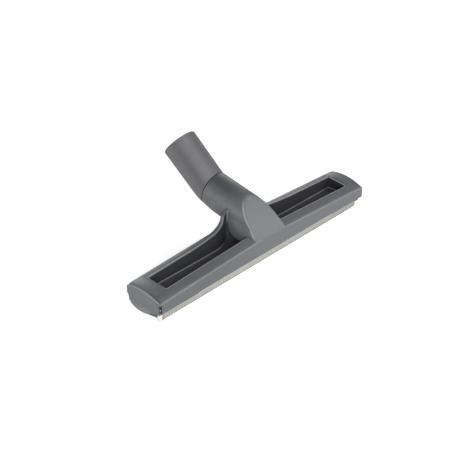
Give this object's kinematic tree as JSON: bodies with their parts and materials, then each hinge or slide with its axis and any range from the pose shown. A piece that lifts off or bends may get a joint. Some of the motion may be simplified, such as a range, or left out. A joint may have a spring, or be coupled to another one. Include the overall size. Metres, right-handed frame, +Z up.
{
  "type": "wet vacuum floor nozzle",
  "caption": "Wide wet suction floor head with a ribbed rubber squeegee blade, two open top pockets and a swivelling bent elbow that takes a suction wand.",
  "frame": {"origin": "tip of the front blade, in the middle of its length, on the floor line", "axes": "+X along the head, +Y from the front blade back towards the elbow, +Z up"},
  "size_m": [0.363, 0.1497, 0.1205],
  "materials": {
    "shell_plastic": "fine-textured satin, cool mid grey",
    "tube_plastic": "satin with faint lengthwise bands, neutral grey",
    "frame_plastic": "matte, darker grey",
    "ivory_rubber": "matte ivory",
    "seal_rubber": "matte black",
    "ring_plastic": "natural, uncoloured",
    "screw_steel": "plain steel"
  },
  "bodies": {
    "head": {"head_shell": "shell_plastic", "bottom_frame": "frame_plastic", "front_blade": "ivory_rubber", "rear_blade": "ivory_rubber", "frame_screw_1": "screw_steel", "frame_screw_2": "screw_steel", "frame_screw_3": "screw_steel", "frame_screw_4": "screw_steel"},
    "elbow": {"swivel_elbow": "tube_plastic", "neck_seal": "seal_rubber", "snap_ring": "ring_plastic"}
  },
  "joints": [
    {"name": "elbow_swivel", "type": "hinge", "parent": "head", "child": "elbow", "pos_m": [0, 0.08134, 0.0612], "axis": [0, 0.9681, 0.2504], "continuous": true}
  ]
}
